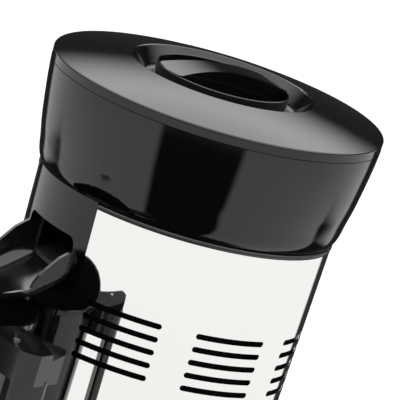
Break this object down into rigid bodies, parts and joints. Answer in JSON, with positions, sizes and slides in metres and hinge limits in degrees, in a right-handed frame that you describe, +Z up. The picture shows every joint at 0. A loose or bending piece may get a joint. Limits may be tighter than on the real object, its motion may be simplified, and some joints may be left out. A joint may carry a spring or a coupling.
{
  "type": "centrifugal juicer",
  "caption": "Round countertop centrifugal juicer: steel-wrapped motor base with vent slots, gloss black bowl and lid, feed plunger, front spout, spinning filter basket and handled jug.",
  "frame": {"origin": "machine axis at table level, at the centre of the annular foot pad", "axes": "+Z up along the motor shaft, -Y out through the spout, +X towards the jug's handle"},
  "size_m": [0.2075, 0.315, 0.2709],
  "materials": {
    "rubber": "matte",
    "base_plastic": "satin",
    "polished_steel": "polished",
    "gloss_black": "high gloss",
    "lid_black": "satin gloss",
    "spout_black": "gloss",
    "bowl_plastic": "satin",
    "jug_black": "gloss",
    "steel_fixings": "plated",
    "bearing_steel": "ground",
    "cast_bracket": "as cast",
    "core_laminations": "varnished",
    "copper_windings": "enamelled wire",
    "commutator_copper": "machined",
    "carbon": "matte",
    "circuit_green": "solder mask",
    "switch_plastic": "satin",
    "rocker_plastic": "gloss",
    "fan_plastic": "satin",
    "basket_steel": "perforated sheet",
    "basket_plastic": "satin"
  },
  "bodies": {
    "base": {"foot_pad": "rubber", "base_plate": "base_plastic", "base_screws": "steel_fixings", "foot_ring": "base_plastic", "steel_wrap": "polished_steel", "base_ring": "base_plastic", "motor_deck": "base_plastic", "vent_baffle": "base_plastic", "shaft_seal": "rubber", "upper_bearing": "bearing_steel", "lower_bearing": "bearing_steel", "upper_bracket": "cast_bracket", "lower_bracket": "cast_bracket", "stator_core": "core_laminations", "stator_windings": "copper_windings", "motor_bolts": "steel_fixings", "damper_bushes": "rubber", "brush_holders": "base_plastic", "carbon_brushes": "carbon", "circuit_board": "circuit_green", "terminal_block": "base_plastic", "cord_gland": "rubber", "switch_housing": "switch_plastic", "reed_switch": "switch_plastic"},
    "rocker": {"rocker_button": "rocker_plastic"},
    "rotor": {"drive_shaft": "bearing_steel", "rotor_core": "core_laminations", "rotor_coils": "copper_windings", "commutator": "commutator_copper", "cooling_fan": "fan_plastic", "drive_coupling": "fan_plastic", "basket_hub": "basket_plastic", "basket_base": "basket_plastic", "grating_disc": "basket_steel", "hub_nut": "basket_steel", "filter_screen": "basket_steel", "basket_rim": "basket_plastic"},
    "bowl": {"bowl_collar": "gloss_black", "juice_bowl": "bowl_plastic", "front_panel": "gloss_black", "spout": "spout_black", "bowl_magnet": "carbon"},
    "lid": {"lid_cover": "lid_black", "feed_chute": "bowl_plastic", "lid_seal": "rubber"},
    "plunger": {"plunger_knob": "lid_black", "plunger_body": "bowl_plastic"},
    "jug": {"jug_cup": "jug_black", "jug_handle": "jug_black", "handle_pin": "steel_fixings"}
  },
  "joints": [
    {"name": "rotor_spin", "type": "hinge", "parent": "base", "child": "rotor", "pos_m": [0, 0, 0.1], "axis": [0, 0, 1], "continuous": true},
    {"name": "bowl_lift", "type": "slide", "parent": "base", "child": "bowl", "axis": [0, 0, 1], "range_m": [0, 0.03]},
    {"name": "lid_lift", "type": "slide", "parent": "bowl", "child": "lid", "axis": [0, 0, 1], "range_m": [0, 0.06]},
    {"name": "plunger_lift", "type": "slide", "parent": "lid", "child": "plunger", "axis": [0, 0, 1], "range_m": [0, 0.045]},
    {"name": "jug_slide", "type": "slide", "parent": "base", "child": "jug", "axis": [0, -1, 0], "range_m": [0, 0.12]},
    {"name": "rocker_tilt", "type": "hinge", "parent": "base", "child": "rocker", "pos_m": [-0.08011, 0, 0.06], "axis": [0, 1, 0], "range_deg": [-14, 0]}
  ]
}
